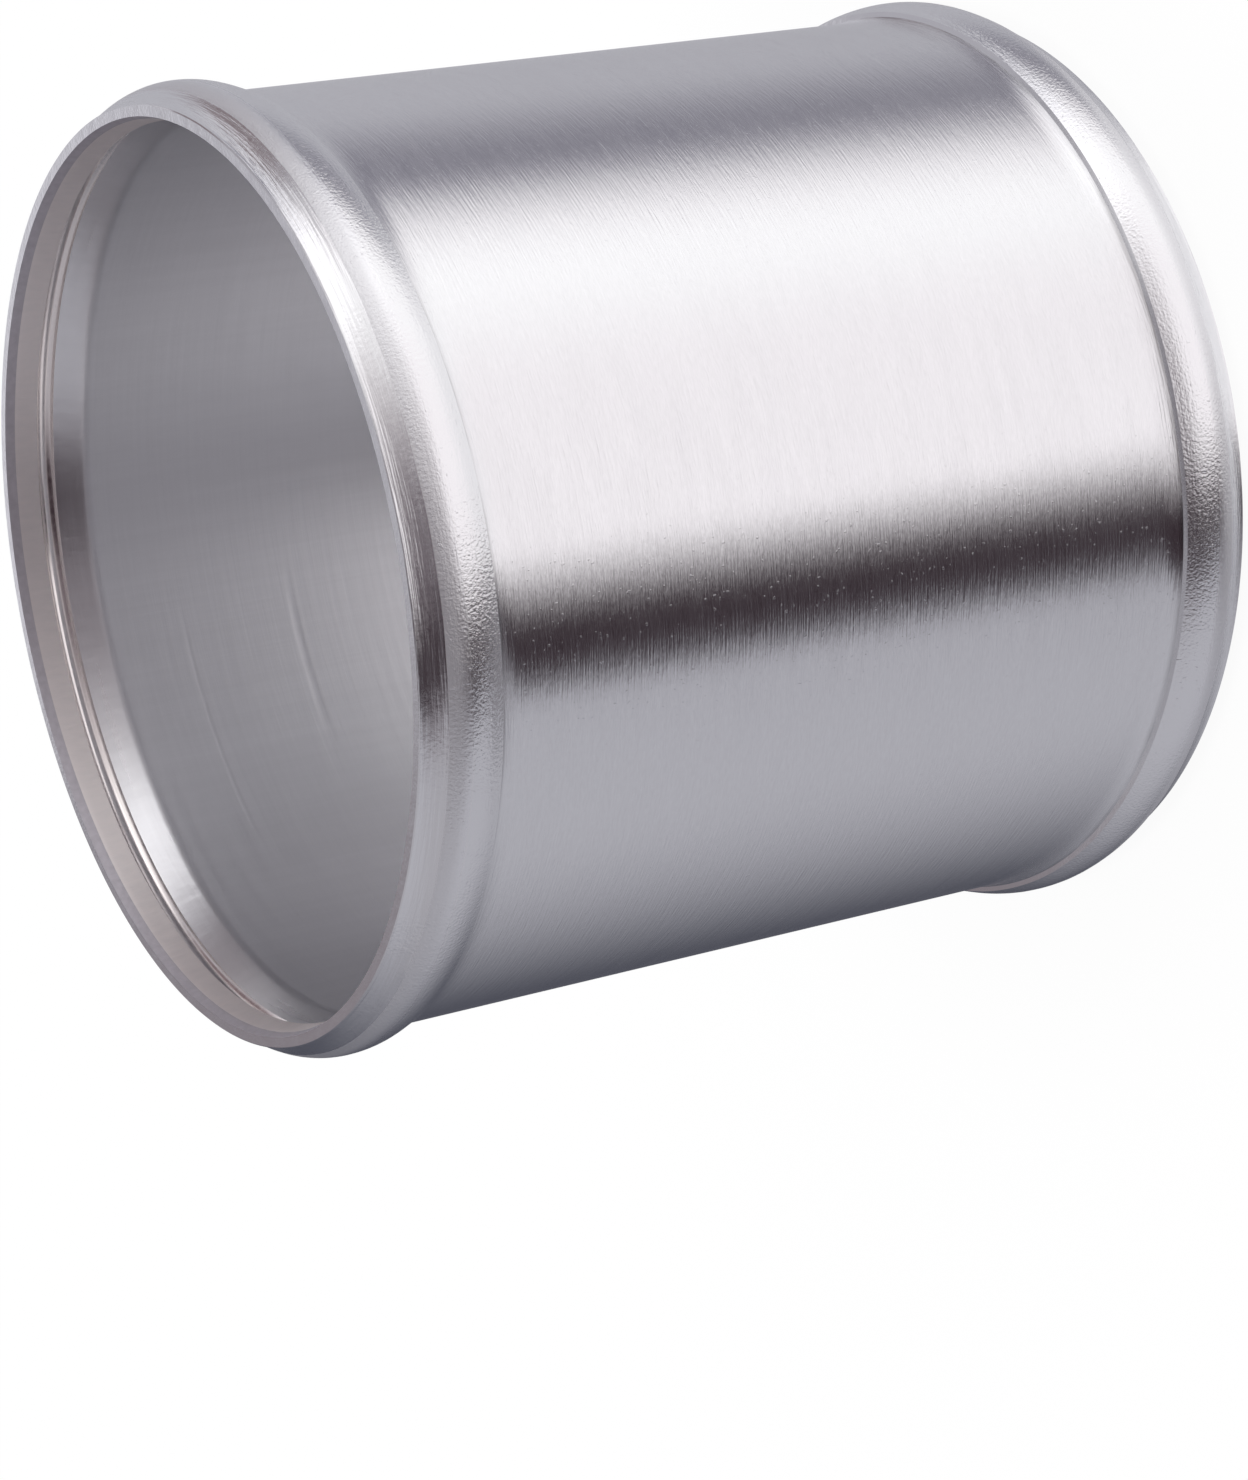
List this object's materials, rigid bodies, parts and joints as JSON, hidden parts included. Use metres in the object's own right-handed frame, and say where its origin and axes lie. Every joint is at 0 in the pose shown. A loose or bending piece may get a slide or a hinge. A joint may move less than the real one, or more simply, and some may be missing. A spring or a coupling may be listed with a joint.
{
  "type": "hose joiner",
  "caption": "Short straight aluminium tube with a rolled bead and a narrow lip at each end, over which the ends of two hoses are clamped to join them.",
  "frame": {"origin": "centre of the tube's lower end face, which it stands on", "axes": "+Z along the tube's axis, upwards; the tube is the same all round and at both ends, so X and Y are free"},
  "size_m": [0.1056, 0.1056, 0.102],
  "materials": {
    "satin_aluminium": "satin, brushed round the tube"
  },
  "bodies": {
    "root": {"joiner_tube": "satin_aluminium"}
  },
  "joints": []
}
